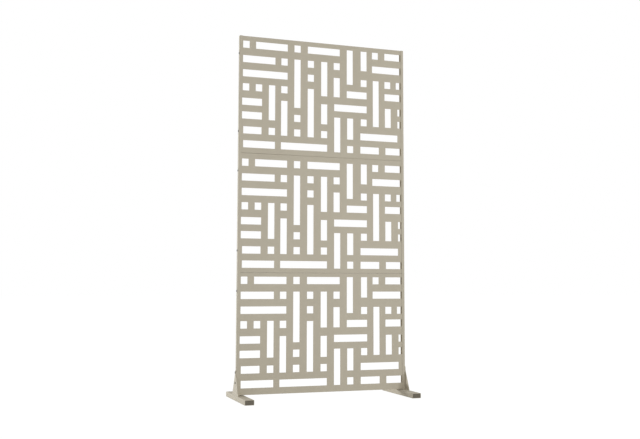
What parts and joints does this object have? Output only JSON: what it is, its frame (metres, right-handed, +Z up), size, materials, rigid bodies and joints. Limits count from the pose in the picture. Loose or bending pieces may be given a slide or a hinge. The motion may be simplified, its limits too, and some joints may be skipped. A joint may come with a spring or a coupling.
{
  "type": "garden privacy screen",
  "caption": "Free-standing garden privacy screen: folded sheet panels with a rectangular slot lattice, bolted between channel posts on tube feet with gusset plates.",
  "frame": {"origin": "on the ground, midway between the posts and under the middle of their depth", "axes": "+Z up; +X along the screen, to the right for someone who looks at its face; +Y from the face to the back"},
  "size_m": [0.9104, 0.4, 1.827],
  "materials": {
    "powder_coat": "matte warm grey-beige powder coat with a very fine texture, on folded mild steel sheet and welded tube",
    "bolt_finish": "dark, low-headed steel bolts",
    "zinc_nut": "zinc-plated hexagon nuts",
    "plug_plastic": "dark taupe moulded polyethylene plugs in the ends of the feet"
  },
  "bodies": {
    "root": {"panel_top": "powder_coat", "panel_middle": "powder_coat", "panel_bottom": "powder_coat", "post_left": "powder_coat", "post_right": "powder_coat", "foot_tube_left": "powder_coat", "foot_tube_right": "powder_coat", "gusset_plate_left": "powder_coat", "gusset_plate_right": "powder_coat", "weld_bead_left": "powder_coat", "weld_bead_right": "powder_coat", "side_bolts_left": "bolt_finish", "side_bolts_right": "bolt_finish", "gusset_bolts_left": "bolt_finish", "gusset_bolts_right": "bolt_finish", "seam_bolts_upper": "bolt_finish", "seam_bolts_lower": "bolt_finish", "side_nuts_left": "zinc_nut", "side_nuts_right": "zinc_nut", "gusset_nuts_left": "zinc_nut", "gusset_nuts_right": "zinc_nut", "seam_nuts_upper": "zinc_nut", "seam_nuts_lower": "zinc_nut", "foot_plugs_left": "plug_plastic", "foot_plugs_right": "plug_plastic"}
  },
  "joints": []
}
